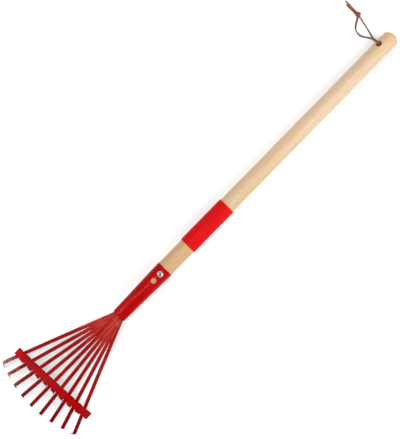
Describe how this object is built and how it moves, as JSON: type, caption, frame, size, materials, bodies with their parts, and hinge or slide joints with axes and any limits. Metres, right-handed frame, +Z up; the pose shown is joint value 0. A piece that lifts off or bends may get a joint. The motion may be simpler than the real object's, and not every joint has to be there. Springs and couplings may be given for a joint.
{
  "type": "sand rake",
  "caption": "Child's fan rake: hooked steel strips spread from a pressed socket under an arched bar, on a wooden handle with a grip sleeve and a hanging lace.",
  "frame": {"origin": "on the surface that the rake lies on, under the middle of its box without the lace", "axes": "+X along the handle towards its free end, +Y to the side where the lace lies, +Z up, hooks down"},
  "size_m": [0.7573, 0.1625, 0.0393],
  "materials": {
    "handle_wood": "clear lacquered beech",
    "grip_red": "satin soft sleeve",
    "socket_red": "gloss enamel",
    "screw_nickel": "nickel plated",
    "rivet_steel": "plain steel",
    "bar_red": "gloss enamel",
    "tine_red": "gloss enamel",
    "lace_leather": "raw cut lace"
  },
  "bodies": {
    "rake": {"handle": "handle_wood", "grip_sleeve": "grip_red", "socket": "socket_red", "socket_screw": "screw_nickel", "tine_rivet": "rivet_steel", "crossbar": "bar_red", "tine_1": "tine_red", "tine_2": "tine_red", "tine_3": "tine_red", "tine_4": "tine_red", "tine_5": "tine_red", "tine_6": "tine_red", "tine_7": "tine_red", "tine_8": "tine_red", "tine_9": "tine_red"},
    "lace": {"hang_lace": "lace_leather", "lace_knot": "lace_leather"}
  },
  "joints": [
    {"name": "lace_swing", "type": "hinge", "parent": "rake", "child": "lace", "pos_m": [0.35215, 0, 0.0155], "axis": [0.0146, 0.5446, 0.8385], "range_deg": [-20, 20]}
  ]
}
